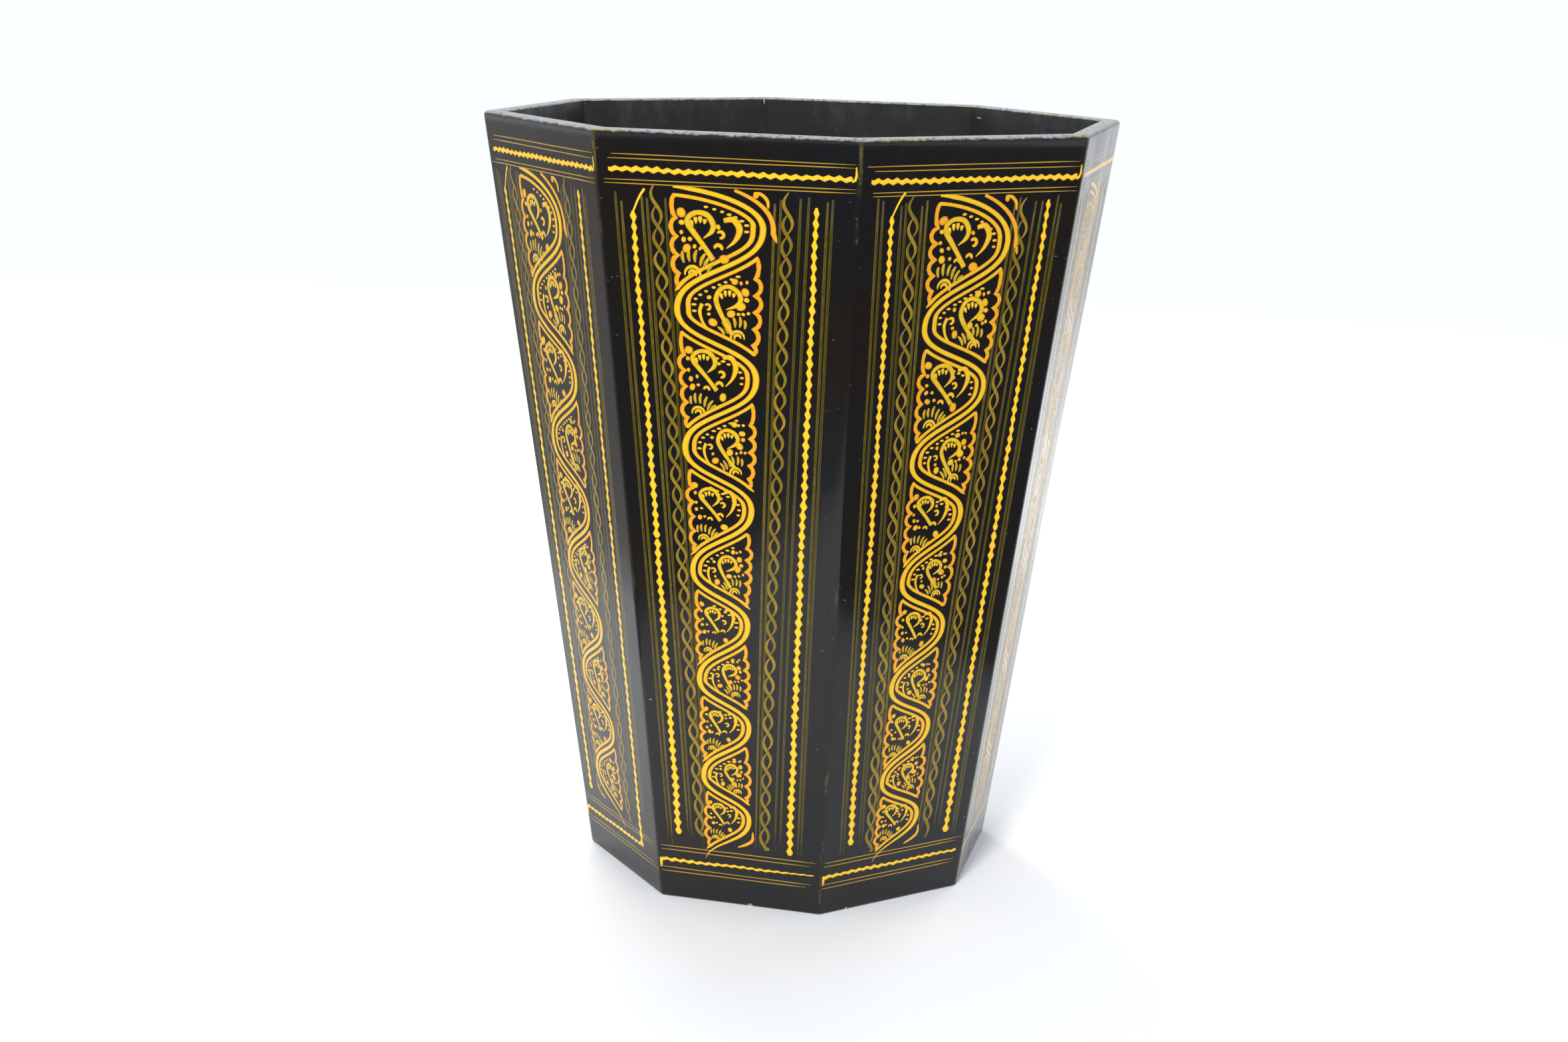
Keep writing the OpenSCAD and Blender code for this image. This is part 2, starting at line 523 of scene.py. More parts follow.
class Ink:
    """Collects lines, dots and chains on one panel as low closed ribbons with a crowned top."""

    def __init__(self, hand):
        self.hand = hand
        self.mesh = bmesh.new()
        self.across = self.mesh.verts.layers.float.new("across")
        self.tone = self.mesh.verts.layers.float.new("tone")

    def vert(self, x, y, lift, across, tone):
        v = self.mesh.verts.new(on_panel(x, y, lift))
        v[self.across] = across
        v[self.tone] = tone
        return v

    def band(self, stations, tone, layer=0):
        """A ribbon through stations of (middle, left offset, right offset), each a 2-D vector."""
        lift = layer * LAYER
        rings = []
        for middle, left, right in stations:
            shoulder = 1 - min(0.3, 0.2 / max((left - right).length / 2, 0.05))
            ring = [
                self.vert(*(middle + left), EDGE_LIFT, -1.0, tone),
                self.vert(*(middle + left * shoulder), SHOULDER_LIFT + lift, -shoulder, tone),
                self.vert(*middle, CROWN_LIFT + lift, 0.0, tone),
                self.vert(*(middle + right * shoulder), SHOULDER_LIFT + lift, shoulder, tone),
                self.vert(*(middle + right), EDGE_LIFT, 1.0, tone),
            ]
            rings.append(ring)
        for a, b in zip(rings, rings[1:]):
            for k in range(5):
                face = self.mesh.faces.new((a[k], a[(k + 1) % 5], b[(k + 1) % 5], b[k]))
                face.smooth = k != 4
        self.mesh.faces.new(rings[0])
        self.mesh.faces.new(rings[-1])

    def stroke(self, points, widths, tone=0.5, layer=0):
        """A line along points, with one width or a width for each point."""
        points = [Vector(p) for p in points]
        if not isinstance(widths, (list, tuple)):
            widths = [widths] * len(points)
        stations = []
        for k, (p, w) in enumerate(zip(points, widths)):
            along = course(points, k)
            left = Vector((along.y, -along.x)) * w / 2
            stations.append((p, left, -left))
        self.band(stations, tone, layer)

    def dot(self, x, y, radius, tone=0.6, layer=2, sides=9):
        """A round blob, a little out of true."""
        lift = layer * LAYER
        turn = self.hand.uniform(0, math.tau)
        squash = self.hand.uniform(0.05, 0.16)
        rings = []
        for reach, height, across in ((1.0, EDGE_LIFT, 1.0), (0.72, SHOULDER_LIFT + lift, 0.7)):
            ring = []
            for k in range(sides):
                angle = math.tau * k / sides
                r = radius * reach * (1 + squash * math.cos(2 * angle + turn))
                out, down = r * math.cos(angle), r * math.sin(angle)
                ring.append(self.vert(x + out, y + down, height, across, tone))
            rings.append(ring)
        top = self.vert(x, y, CROWN_LIFT + lift, 0.0, tone)
        for k in range(sides):
            n = (k + 1) % sides
            self.mesh.faces.new((rings[0][k], rings[0][n], rings[1][n], rings[1][k])).smooth = True
            self.mesh.faces.new((rings[1][k], rings[1][n], top)).smooth = True
        self.mesh.faces.new(rings[0])

    def piece(self, name, i, finish, slot):
        """The ink as one piece on panel i."""
        bmesh.ops.recalc_face_normals(self.mesh, faces=self.mesh.faces)
        self.mesh.transform(turned(i))
        data = bpy.data.meshes.new(name)
        self.mesh.to_mesh(data)
        self.mesh.free()
        data.materials.append(finish)
        made = placed(name, data)
        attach(made, "root")


def smooth_line(points, step):
    """A Catmull-Rom curve through points, with a point about every step mm."""
    points = [Vector(p) for p in points]
    padded = [points[0] * 2 - points[1]] + points + [points[-1] * 2 - points[-2]]
    line = []
    for a, b, c, d in zip(padded, padded[1:], padded[2:], padded[3:]):
        count = max(1, math.ceil((c - b).length / step))
        for k in range(count):
            t = k / count
            squared, cubed = 2 * a - 5 * b + 4 * c - d, 3 * b - a - 3 * c + d
            line.append(0.5 * (2 * b + (c - a) * t + squared * t**2 + cubed * t**3))
    return line + [points[-1]]


def swell(count, ends, middle, power=0.7):
    """Widths that grow from both ends to the middle."""
    shares = [max(0.0, math.sin(math.pi * k / (count - 1))) ** power for k in range(count)]
    return [blend(ends, middle, share) for share in shares]


def taper(count, start, end):
    """Widths from start to end."""
    return [blend(start, end, k / (count - 1)) for k in range(count)]


def spread_widths(widths, count):
    """A few widths spread over the count points of a line."""
    spread = []
    for k in range(count):
        place = k / (count - 1) * (len(widths) - 1)
        low = min(int(place), len(widths) - 2)
        spread.append(blend(widths[low], widths[low + 1], place - low))
    return spread


# ---------------- columns and bands

def bead_side(turns, neck, belly):
    """How far one side of a chain stands off its middle line, after a number of repeats."""
    return blend(neck, belly, (1 - abs(2 * (turns % 1.0) - 1)) ** 1.1)


def chain(ink, start, end, pitch=3.8, size=1.0, fade=0.0, lag=0.1, tone=0.5):
    """A chain of lozenge beads that leans by lag repeats, its beads shrinking by fade towards the end."""
    start, end = Vector(start), Vector(end)
    length = (end - start).length
    along = (end - start).normalized()
    side = Vector((along.y, -along.x))
    count = round(length / pitch)
    stations = []
    wander = ink.hand.uniform(0, math.tau)
    for k in range(count):
        grow = size * ink.hand.uniform(0.86, 1.08) * (1 - fade * (k / count) ** 2)
        drift = side * (0.1 * math.sin(wander + k * 0.7) + ink.hand.uniform(-0.06, 0.06))
        for step in range(10):
            turns = k + step / 10
            middle = start + along * length * turns / count + drift
            lead = bead_side(turns - lag / 2, 0.62, 1.8) * grow
            trail = bead_side(turns + lag / 2, 0.62, 1.8) * grow
            stations.append((middle, side * lead, -side * trail))
    ink.band(stations, tone, 1)


def rope(ink, column, top, foot, pitch=8.0, reach=1.85):
    """A two-strand twist: S-shaped strokes, each thin at its ends where it passes under the next."""
    y = top
    while y < foot - pitch * 0.8:
        length = pitch * 2 * ink.hand.uniform(0.92, 1.0)
        swing = reach * ink.hand.uniform(0.88, 1.1) * blend(1.0, 0.85, y / foot)
        count = 18
        points = []
        for k in range(count):
            t = k / (count - 1)
            down = min(y + length * t, foot + 2 * t)
            points.append((column(down) - swing * math.sin(math.tau * t), down))
        ink.stroke(points, swell(count, 0.3, 1.45, 0.7), ink.hand.uniform(0.4, 0.75), 2)
        y += pitch * ink.hand.uniform(0.95, 1.05)


def rules(ink, column, top, foot, spacing, width=1.35):
    """A pair of ruled bands down a column, closing up as the panel narrows."""
    for side in (-0.5, 0.5):
        first = top + ink.hand.uniform(-1.5, 2.0)
        last = foot + ink.hand.uniform(-2.0, 1.5)
        steps = 18
        points, widths = [], []
        for j in range(steps + 1):
            y = blend(first, last, j / steps)
            narrowing = half_width(y) / half_width(0)
            points.append((column(y) + side * spacing * narrowing + ink.hand.uniform(-0.04, 0.04), y))
            widths.append(width * narrowing * ink.hand.uniform(0.93, 1.05))
        widths[0] *= 0.7
        widths[-1] *= 0.5
        ink.stroke(points, widths, ink.hand.uniform(0.0, 0.22))


def cross_rule(ink, y, left, right, tilt=0.0, width=0.46):
    """One thin ruled line across the panel."""
    steps = 8
    points = []
    for j in range(steps + 1):
        t = j / steps
        points.append((blend(left, right, t), y + tilt * t + ink.hand.uniform(-0.05, 0.05)))
    widths = [width * ink.hand.uniform(0.85, 1.1) for _ in points[2:]]
    ink.stroke(points, [width * 0.6] + widths + [0.15], 1.0)


# Columns of a panel, left to right: (kind, share of the half width at the rim and at the foot, spacing)
COLUMNS = (
    ("rules", -0.825, -0.77, 2.1),
    ("chain", -0.72, -0.66, 0),
    ("rules", -0.625, -0.52, 1.9),
    ("rope", -0.54, -0.39, 0),
    ("rules", -0.44, -0.34, 2.0),
    ("rules", 0.425, 0.27, 2.2),
    ("rope", 0.505, 0.35, 0),
    ("rules", 0.625, 0.51, 3.0),
    ("chain", 0.71, 0.66, 0),
    ("rules", 0.81, 0.78, 1.8),
)
COLUMN_TOP, COLUMN_FOOT = 21.5, 276.0
TOP_RULES, TOP_CHAIN = (8.6, 10.2, 17.7, 19.0), 13.9
FOOT_RULES, FOOT_CHAIN = (280.2, 281.8, 289.6, 291.3), 286.3


def column_line(style, at_rim, at_foot):
    """x of a column as a function of y, with the panel's own drift."""
    def x(y):
        t = y / PANEL_LENGTH
        return half_width(y) * (blend(at_rim, at_foot, t) + blend(style["lean_top"], style["lean_foot"], t))

    return x


def draw_columns(style, lines, chains):
    for kind, at_rim, at_foot, spacing in COLUMNS:
        x = column_line(style, at_rim, at_foot)
        top = COLUMN_TOP + style["drop"] + lines.hand.uniform(-1.5, 2.0)
        foot = COLUMN_FOOT + lines.hand.uniform(-2.0, 3.0)
        if kind == "rules":
            rules(lines, x, top, foot, spacing)
        elif kind == "rope":
            rope(lines, x, top - 1.5, foot - 2)
        else:
            first = top + (5.5 if at_rim < 0 else 1.0)
            middle = blend(first, foot, 0.5)
            if style["corner"] and at_rim > 0:
                foot = FOOT_CHAIN + 0.8
            chain(chains, (x(first), first), (x(middle), middle), size=0.78, fade=-0.12, tone=0.5)
            chain(chains, (x(middle), middle), (x(foot), foot), size=0.88, fade=-0.12, tone=0.4)
            if at_rim < 0:
                lead = [(x(top) + 4.8, top - 2.6), (x(top) + 2.6, top + 0.8), (x(first) - 0.1, first + 0.8)]
                line = smooth_line(lead, 1.0)
                chains.stroke(line, taper(len(line), 1.15, 0.8), 0.4)


def draw_bands(style, lines, chains):
    drop, hand = style["drop"], lines.hand
    wide = half_width(TOP_CHAIN)
    for y in TOP_RULES:
        left = -wide * hand.uniform(0.87, 0.95)
        cross_rule(lines, y + drop, left, wide * hand.uniform(0.955, 0.985), hand.uniform(-0.3, 0.3))
    top_start, top_stop = (-0.9 * wide, TOP_CHAIN + drop), (0.955 * wide, TOP_CHAIN + drop + 0.2)
    chain(chains, top_start, top_stop, 3.85, 0.82, 0.0, 0.36)
    corner = [(0.94 * wide, 0.9), (0.965 * wide, 0.3), (0.975 * wide, -1.2), (0.975 * wide, -4.2)]
    chains.stroke([(x, y + TOP_CHAIN + drop) for x, y in corner], [1.2, 1.2, 1.0, 0.5], 0.35)
    narrow = half_width(FOOT_CHAIN)
    foot_stop = 0.56 * narrow if style["corner"] else 0.92 * narrow
    for y in FOOT_RULES:
        right = narrow * hand.uniform(0.8, 0.97)
        cross_rule(lines, y, -narrow * hand.uniform(0.95, 0.98), right, hand.uniform(-0.3, 0.4))
    foot_start = (-0.97 * narrow, FOOT_CHAIN)
    chain(chains, foot_start, (foot_stop, FOOT_CHAIN - 0.4), 3.4, 0.66, style["fade"], 0.36)
    corner_x = -0.965 * narrow
    chains.stroke([(corner_x, FOOT_CHAIN - 0.5), (corner_x, FOOT_CHAIN + 3.6)], [1.4, 1.1], 0.45)


# ---------------- the scroll

# Reach of the vine off its middle line as a share of the half width, at the rim and from VINE_STEADY down
VINE_REACH, VINE_STEADY = (0.375, 0.255), 190.0
# Height of a swing as a share of the panel's width at the rim and at the foot, to the left and to the right
SWING_LEFT, SWING_RIGHT = (0.331, 0.294), (0.281, 0.236)
LAST_BEND = 272.0
# Depth in mm of the lobe that the templates below are drawn for
LOBE_DEPTH = 27.0

# Buds, for the left and right lobes: from the stem's foot round the loop to its tip, in loop radii
BUDS = {
    1: ((1.0, 2.55), (0.35, 1.62), (-0.35, 0.72), (-0.9, 0.0), (-0.95, -0.45), (-0.6, -0.82),
        (-0.05, -0.97), (0.6, -0.78), (1.0, -0.15), (0.88, 0.42), (0.25, 0.95)),
    -1: ((0.45, 2.95), (-0.05, 2.2), (-0.55, 1.4), (-0.95, 0.6), (-1.05, 0.0), (-0.72, -0.7),
         (-0.05, -0.97), (0.65, -0.65), (0.95, -0.1), (0.7, 0.45), (-0.2, 0.92)),
}
BUD_WIDTHS = (1.2, 1.05, 1.05, 1.2, 1.25, 1.1, 1.0, 1.15, 1.25, 1.0, 0.25)
BUD_PLACE = {1: (0.35, 0.30), -1: (0.42, 0.43)}
BUD_RADIUS = 4.5
BUD_PETALS = (
    ((-0.72, -0.35), (-0.55, 0.1)),
    ((-0.36, -0.62), (-0.3, -0.12)),
    ((0.02, -0.68), (0.02, -0.18)),
    ((0.4, -0.5), (0.33, -0.12)),
)

# Round marks of a lobe: share of the way in from the scalloped edge and of the way down, radius, kind
LOBE_MARKS = {
    1: (
        (0.117, 0.18, 1.7, "blob"), (0.60, 0.41, 1.6, "curl"), (0.56, 0.545, 1.7, "arch"),
        (0.62, 0.66, 1.7, "blob"), (0.37, 0.59, 1.5, "arch"), (0.16, 0.56, 1.4, "blob"),
        (0.11, 0.28, 0.9, "dot"), (0.58, 0.315, 0.75, "dot"), (0.116, 0.39, 0.75, "dot"),
        (0.22, 0.46, 0.7, "dot"), (0.12, 0.475, 0.95, "dot"), (0.25, 0.55, 0.7, "dot"),
    ),
    -1: (
        (0.34, 0.265, 1.4, "blob"), (0.19, 0.36, 1.55, "blob"), (0.23, 0.51, 1.85, "blob"),
        (0.39, 0.60, 1.6, "blob"), (0.64, 0.69, 1.65, "blob"), (0.72, 0.53, 1.5, "curl"),
        (0.16, 0.435, 0.95, "dot"), (0.24, 0.26, 0.65, "dot"), (0.18, 0.25, 0.65, "dot"),
        (0.285, 0.60, 0.65, "dot"), (0.20, 0.585, 0.7, "dot"), (0.125, 0.57, 0.65, "dot"),
        (0.70, 0.42, 0.8, "dot"), (0.69, 0.615, 0.65, "dot"),
    ),
}
# A comma-shaped petal in each kind of lobe, and its widths in mm
PETALS = {
    1: (((0.64, 0.25), (0.76, 0.235), (0.83, 0.335), (0.77, 0.456), (0.655, 0.545)),
        (1.7, 2.4, 2.5, 1.5, 0.4)),
    -1: (((0.80, 0.50), (0.83, 0.58), (0.79, 0.68), (0.73, 0.74), (0.66, 0.79)),
         (1.7, 1.6, 1.3, 1.0, 0.5)),
}
# Fan in the foot corner: its place, then each finger from root to tip in mm from the arches' middle
FAN_PLACE = {1: (0.215, 0.845), -1: (0.275, 0.835)}
FAN_FINGERS = (
    ((-2.8, 3.6), (-2.9, 7.4)), ((-0.9, 4.1), (-0.9, 8.2)), ((0.9, 4.0), (1.7, 8.3)),
    ((2.6, 2.8), (4.2, 7.2)), ((3.8, 1.5), (6.0, 6.1)), ((5.0, 0.9), (7.4, 4.3)),
)


def scroll_middle(style, y):
    return half_width(y) * blend(style["scroll_top"], style["scroll_foot"], min(1.0, y / VINE_STEADY))


def vine_reach(style, y):
    at_rim, at_foot = VINE_REACH
    return half_width(y) * blend(at_rim, at_foot * style["foot_reach"], min(1.0, y / VINE_STEADY))


def vine_bends(style, hand):
    """The vine's outermost points: (x, y, side), side 1 on the right and -1 on the left."""
    bends = []
    y, side = style["first_bend"], 1
    while y < LAST_BEND:
        reach = vine_reach(style, y) * hand.uniform(0.97, 1.03)
        bends.append((scroll_middle(style, y) + side * reach, y, side))
        share = blend(*(SWING_LEFT if side > 0 else SWING_RIGHT), y / PANEL_LENGTH)
        y += share * style["swing"] * 2 * half_width(y) * hand.uniform(0.985, 1.015)
        side = -side
    return bends


def swing_points(a, b, step=0.8):
    """The vine between two bends, steeper through the middle than a plain cosine."""
    count = math.ceil(math.hypot(b[0] - a[0], b[1] - a[1]) / step)
    points = []
    for k in range(count):
        t = k / count
        eased = t - 0.045 * math.sin(math.tau * t)
        x = blend(a[0], b[0], (1 - math.cos(math.pi * eased)) / 2)
        points.append(Vector((x, blend(a[1], b[1], t))))
    return points


def vine_runs(style, bends):
    """The vine as runs of points: from the start to the first bend, bend to bend, and to the tail."""
    first = bends[0]
    start = (scroll_middle(style, 0) - vine_reach(style, 0) * 0.88, 19.4 + style["drop"])
    opening = []
    for k in range(42):
        t = k / 42
        x = blend(start[0], first[0], math.sin(math.pi / 2 * t))
        opening.append(Vector((x, blend(start[1], first[1], t**1.6))))
    runs = [opening]
    for a, b in zip(bends, bends[1:]):
        runs.append(swing_points(a, b))
    last = bends[-1]
    tail_reach = last[2] * vine_reach(style, last[1]) * 1.1
    tail_foot = (scroll_middle(style, last[1]) - tail_reach, min(last[1] + 23, FOOT_CHAIN))
    runs.append(swing_points(last, tail_foot)[:-3])
    return runs


def offset_line(points, distance):
    """Points moved square to the line: to the right of its downward course for a positive distance."""
    moved = []
    for k, p in enumerate(points):
        along = course(points, k)
        d = distance(p, along) if callable(distance) else distance
        moved.append(p + Vector((along.y, -along.x)) * d)
    return moved


def nib(narrow, wide, along):
    """Width of a line drawn with a flat nib, which is widest where the line runs down the panel."""
    return blend(narrow, wide, abs(along.y) ** 3)


class Lobe:
    """The space between the vine's bend and the opposite edge of the scroll."""

    def __init__(self, style, before, after, side):
        self.style, self.side = style, side
        bend = after[0]
        self.scale = blend(0.5, 1.0, 2 * vine_reach(style, bend.y) / 34.0)
        whole = before + after
        last = whole[-1].y

        def gap(p, along):
            """Wider at the bend. A right lobe closes on the vine at its foot, and a left one opens."""
            at_bend = blend(3.8 if side > 0 else 5.2, 3.0, min(1.0, bend.y / VINE_STEADY))
            on_slant = 2.9 if side > 0 or p.y < bend.y else 4.1
            clear = blend(on_slant, at_bend, abs(along.y) ** 6)
            closing = max(0.0, 1 - (last - p.y) / (last - bend.y) * 1.9) if side > 0 else 0.0
            return -side * self.scale * blend(clear, 1.75, closing)

        self.border = [p for p in offset_line(whole, gap) if side * (p.x - self.edge(p.y)) > 0.4]
        self.top, self.foot = self.border[0].y, self.border[-1].y
        self.depth = max(side * (p.x - self.edge(p.y)) for p in self.border)
        self.unit = self.depth / LOBE_DEPTH

    def edge(self, y):
        """x of the scalloped edge, on the far side from the bend."""
        return scroll_middle(self.style, y) - self.side * (vine_reach(self.style, y) - 0.3)

    def at(self, inward, down):
        """A place in the lobe from shares of its depth and height."""
        y = blend(self.top, self.foot, down)
        return Vector((self.edge(y) + self.side * inward * self.depth, y))

    def draw(self, ink):
        self.draw_border(ink)
        self.draw_edge(ink)
        self.draw_bud(ink)
        self.draw_petal(ink)
        self.draw_fan(ink)
        self.draw_marks(ink)
        self.draw_beads(ink)

    def draw_border(self, ink):
        overshoot = ink.hand.uniform(0.3, 2.2)
        away = (self.border[-1] - self.border[-3]).normalized()
        line = self.border + [self.border[-1] + away * overshoot * s for s in (0.5, 1.0)]
        widths = []
        for k in range(len(line)):
            widths.append(nib(1.5, 2.2, course(line, k)) * self.scale * ink.hand.uniform(0.96, 1.04))
        widths[-2:] = [1.1 * self.scale, 0.4]
        ink.stroke(line, widths, 0.74, 2)

    def draw_edge(self, ink):
        """The outer edge: a long shallow scallop, round ones, and another shallow one to the foot."""
        length = self.foot - self.top
        first = self.top + length * ink.hand.uniform(0.2, 0.27)
        last = self.foot - length * ink.hand.uniform(0.08, 0.16)
        count = max(2, round((last - first) / (6.0 * self.scale)))
        stops = [self.top] + [blend(first, last, k / count) for k in range(count + 1)] + [self.foot]
        points, widths = [], []
        for k, (y0, y1) in enumerate(zip(stops, stops[1:])):
            end_piece = k in (0, len(stops) - 2)
            bulge = (1.3 if end_piece else 2.4) * self.scale * ink.hand.uniform(0.85, 1.12)
            steps = 9
            for j in range(steps):
                t = j / steps
                y = blend(y0, y1, t)
                out = bulge * max(0.0, math.sin(math.pi * t)) ** 0.55 - 1.5 * self.scale
                points.append(Vector((self.edge(y) - self.side * out, y)))
                widths.append(1.95 * self.scale * ink.hand.uniform(0.9, 1.1))
        points.append(Vector((self.edge(self.foot), self.foot)))
        widths.append(0.9 * self.scale)
        ink.stroke(points, widths, 1.0, 1)

    def draw_bud(self, ink):
        inward, down = BUD_PLACE[self.side]
        centre = self.at(inward + ink.hand.uniform(-0.02, 0.02), down + ink.hand.uniform(-0.02, 0.02))
        radius = BUD_RADIUS * self.unit * ink.hand.uniform(0.93, 1.07)
        spin = Matrix.Rotation(math.radians(ink.hand.uniform(-7, 7)), 2)
        wide = 1.7 * self.unit + 0.1

        def put(p):
            return centre + spin @ Vector(p) * radius

        loop = smooth_line([put(p) for p in BUDS[self.side]], 0.8)
        ink.stroke(loop, [wide * w for w in spread_widths(BUD_WIDTHS, len(loop))], 0.35, 4)
        for a, b in BUD_PETALS:
            a, b = put(a), put(b)
            ink.stroke([a, a.lerp(b, 0.5), b], [wide * 0.8, wide * 0.85, wide * 0.3], 0.45, 3)

    def draw_petal(self, ink):
        places, widths = PETALS[self.side]
        line = smooth_line([self.at(*p) for p in places], 1.2 * self.unit)
        ink.stroke(line, [self.unit * w for w in spread_widths(widths, len(line))], 0.65, 2)

    def draw_fan(self, ink):
        """Fingers spread above two nested arches, in the foot corner."""
        middle = self.at(*FAN_PLACE[self.side])
        wide = 1.15 * self.unit + 0.1

        def put(x, up):
            return middle + Vector((self.side * x, -up)) * self.unit

        for radius in (2.6, 1.2):
            arch = []
            for degrees in range(190, -31, -20):
                angle = math.radians(degrees)
                arch.append(put(radius * math.cos(angle), radius * math.sin(angle)))
            ink.stroke(arch, swell(len(arch), wide * 0.4, wide * 1.1), 0.35, 3)
        for root, tip in FAN_FINGERS:
            tip = Vector(tip) + Vector((ink.hand.uniform(-0.3, 0.3), ink.hand.uniform(-0.4, 0.4)))
            bow = (Vector(root) + tip) / 2 + Vector((-0.35, 0.25))
            line = smooth_line([put(*root), put(*bow), put(*tip)], 1.4 * self.unit)
            ink.stroke(line, swell(len(line), wide * 0.55, wide * 1.15, 0.6), 0.18, 2)

    def draw_marks(self, ink):
        for inward, down, radius, kind in LOBE_MARKS[self.side]:
            place = self.at(inward + ink.hand.uniform(-0.015, 0.015), down + ink.hand.uniform(-0.012, 0.012))
            radius *= 1.1 * self.unit * ink.hand.uniform(0.9, 1.08)
            tone = ink.hand.uniform(0.55, 0.9)
            if kind == "blob":
                ink.dot(*place, radius, tone, 4, 10)
            elif kind == "dot":
                ink.dot(*place, radius + 0.12, tone, 2, 7)
            else:
                turn = -150 if kind == "curl" else 180
                curl_at(ink, place, radius * 0.72, turn, turn + 260 if kind == "curl" else 380)

    def draw_beads(self, ink):
        """A row of small ovals just inside the border."""
        inner = offset_line(self.border, -self.side * 2.3 * self.scale)
        spacing = 2.35 * self.scale
        walked = 0.0
        first, last = int(len(inner) * 0.1), int(len(inner) * 0.64)
        for a, b in zip(inner[first:last], inner[first + 1 : last]):
            walked += (b - a).length
            if walked > spacing:
                walked = 0.0
                reach = Vector((0.85, 0.0)) * self.scale * ink.hand.uniform(0.85, 1.15)
                wide = 1.15 * self.scale
                ink.stroke([b - reach, b - reach * 0.4, b + reach * 0.4, b + reach],
                           [wide * 0.5, wide, wide, wide * 0.45], 0.65, 1)


def curl_at(ink, centre, radius, start=-150, stop=130):
    """A small comma that closes on itself, drawn between two angles."""
    line = []
    for k in range(10):
        angle = math.radians(blend(start, stop, k / 9))
        r = radius * blend(1.0, 0.8, k / 9)
        line.append(centre + Vector((math.cos(angle), math.sin(angle))) * r)
    ink.stroke(line, swell(len(line), radius * 0.6, radius * 1.15, 0.6), 0.7, 3)


def draw_scroll(style, ink):
    hand = ink.hand
    bends = vine_bends(style, hand)
    runs = vine_runs(style, bends)
    vine = [p for run in runs for p in run]
    wander = hand.uniform(0, math.tau)
    widths = []
    for k, p in enumerate(vine):
        wide = nib(1.8, 2.7, course(vine, k)) * blend(1.0, 0.8, p.y / PANEL_LENGTH)
        ends = min(1.0, (k + 4) / 9, (len(vine) - k) / 22)
        widths.append(wide * ends * (1 + 0.05 * math.sin(wander + k * 0.11)))
    ink.stroke(vine, widths, 0.58, 4)
    for k, (_, _, side) in enumerate(bends):
        Lobe(style, runs[k], runs[k + 1], side).draw(ink)
    draw_leaf(style, ink, runs[0], runs[1], bends[0])
    x, y, side = bends[-1]
    steps = ((1.4, 5.0), (1.2, 8.5), (-1.2, 10.6), (-4.6, 12.2))
    spur = smooth_line([(x + side * out, y + down) for out, down in steps], 1.0)
    ink.stroke(spur, swell(len(spur), 0.5, 1.5), 0.9, 1)


def draw_leaf(style, ink, opening, second, bend):
    """The leaf that fills the corner outside the vine's first bend, and the curl that springs from it."""
    outer = offset_line(opening + second[:3], 3.7)
    kept = [p for p in outer if p.y > COLUMN_TOP + style["drop"] - 2.0]
    tip = kept[-1] + Vector((1.2, 3.4))
    line = kept + [kept[-1].lerp(tip, 0.5), tip]
    widths = [blend(1.3, 2.3, k / len(line)) for k in range(len(line) - 2)] + [1.8, 0.5]
    ink.stroke(line, widths, 0.9, 2)
    top = COLUMN_TOP + style["drop"]
    spring = [(bend[0] - 3.2, top - 1.2), (bend[0] - 0.6, top - 0.9), (bend[0] + 1.6, top + 1.2),
              (bend[0] + 2.0, top + 4.0)]
    curl = smooth_line(spring, 0.9)
    ink.stroke(curl, swell(len(curl), 0.7, 1.5, 0.6), 0.8, 3)
    ink.dot(bend[0] - 2.4, top - 0.3, 1.25, 0.9)


# ---------------- the eight panels

def hand_style(first_bend, scroll, lean, drop, fade, swing=1.0, foot_reach=1.0, corner=False):
    """How the decorator's hand fell on one panel. scroll and lean have a value for the rim and the foot."""
    return dict(
        first_bend=first_bend, scroll_top=scroll[0], scroll_foot=scroll[1], lean_top=lean[0],
        lean_foot=lean[1], drop=drop, fade=fade, swing=swing, foot_reach=foot_reach, corner=corner,
    )


# The panels in the order of STAVES
STYLES = (
    hand_style(32.8, (-0.07, -0.125), (-0.015, -0.06), 0.0, 0.75),
    hand_style(38.0, (0.05, -0.015), (0.01, 0.04), 1.0, 0.15, 0.99, 1.04),
    hand_style(33.0, (0.0, -0.05), (0.0, 0.0), 1.2, 0.3),
    hand_style(31.0, (-0.04, -0.08), (-0.01, -0.04), 0.4, 0.5, 1.03),
    hand_style(34.5, (0.03, -0.03), (0.01, 0.01), 1.8, 0.2),
    hand_style(30.5, (-0.05, -0.06), (0.0, -0.03), 0.8, 0.6, 0.98, 1.08),
    hand_style(32.5, (0.02, -0.07), (0.0, -0.02), 1.5, 0.4),
    hand_style(37.5, (-0.08, -0.19), (-0.05, -0.1), 0.4, 0.1, 1.08, 1.18, True),
)


def decorate(i, finishes):
    """All the ornament of panel i, in three pieces."""
    style = STYLES[i]
    place = STAVES[i].replace("stave_", "")
    scroll, chains, lines = (Ink(random.Random(100 * i + k)) for k in range(3))
    draw_scroll(style, scroll)
    draw_columns(style, lines, chains)
    draw_bands(style, lines, chains)
    scroll.piece(f"scroll_{place}", i, finishes["scroll"], "ornament_orange")
    chains.piece(f"chains_{place}", i, finishes["chain"], "ornament_gold")
    lines.piece(f"ropes_and_rules_{place}", i, finishes["line"], "ornament_olive")


